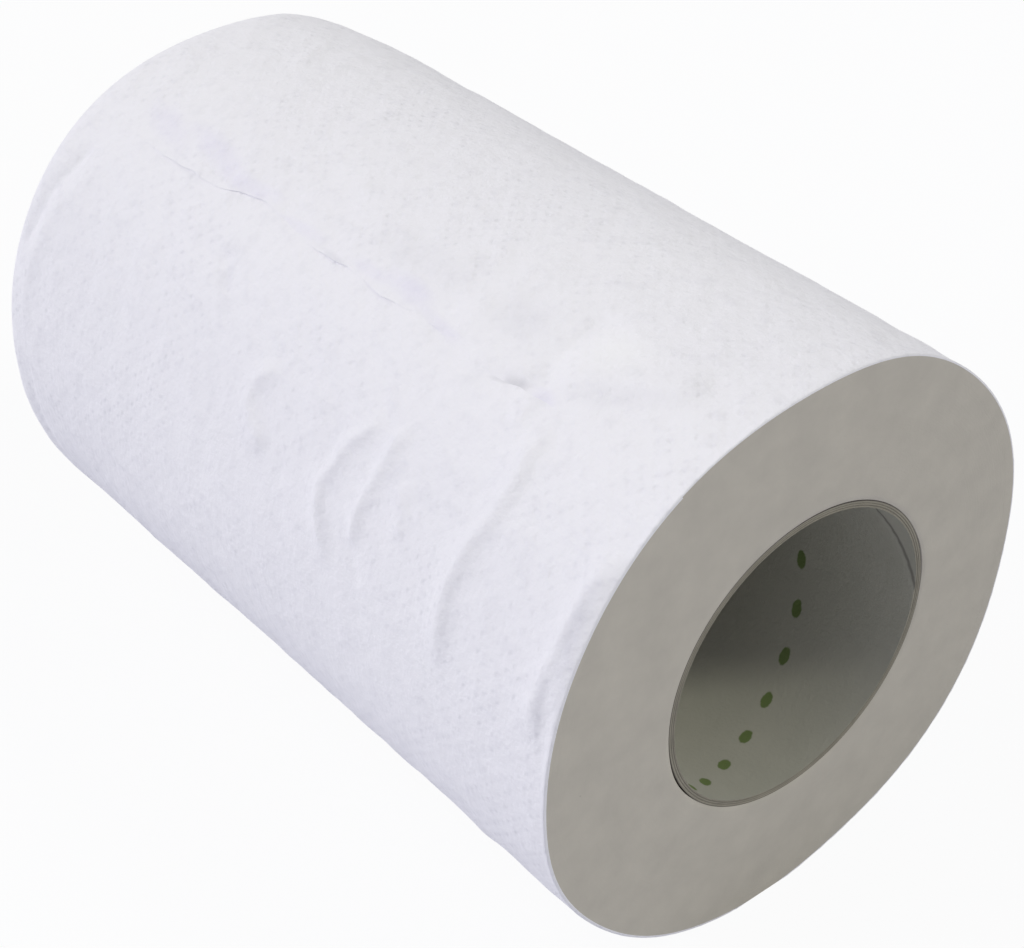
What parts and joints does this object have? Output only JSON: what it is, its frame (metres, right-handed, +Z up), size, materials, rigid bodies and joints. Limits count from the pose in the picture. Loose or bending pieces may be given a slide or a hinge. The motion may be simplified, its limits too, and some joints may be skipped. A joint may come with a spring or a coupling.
{
  "type": "cleaning paper roll",
  "caption": "Short, wide roll of white embossed cleaning paper on a grey cardboard tube, lying on its side, its loose tail held by a pressed glue spot.",
  "frame": {"origin": "on the flat spot under the roll, straight below the core's axis, halfway along the roll", "axes": "+Y along the core's axis, away from the end that shows best; +Z up from the table; +X to the right as that end is seen"},
  "size_m": [0.1311, 0.2, 0.1317],
  "materials": {
    "embossed_paper": "matt white paper with a fine embossed dot pattern",
    "grey_cardboard": "matt grey board with a printed row of olive dashes inside"
  },
  "bodies": {
    "root": {"wound_paper": "embossed_paper", "cardboard_core": "grey_cardboard"}
  },
  "joints": []
}
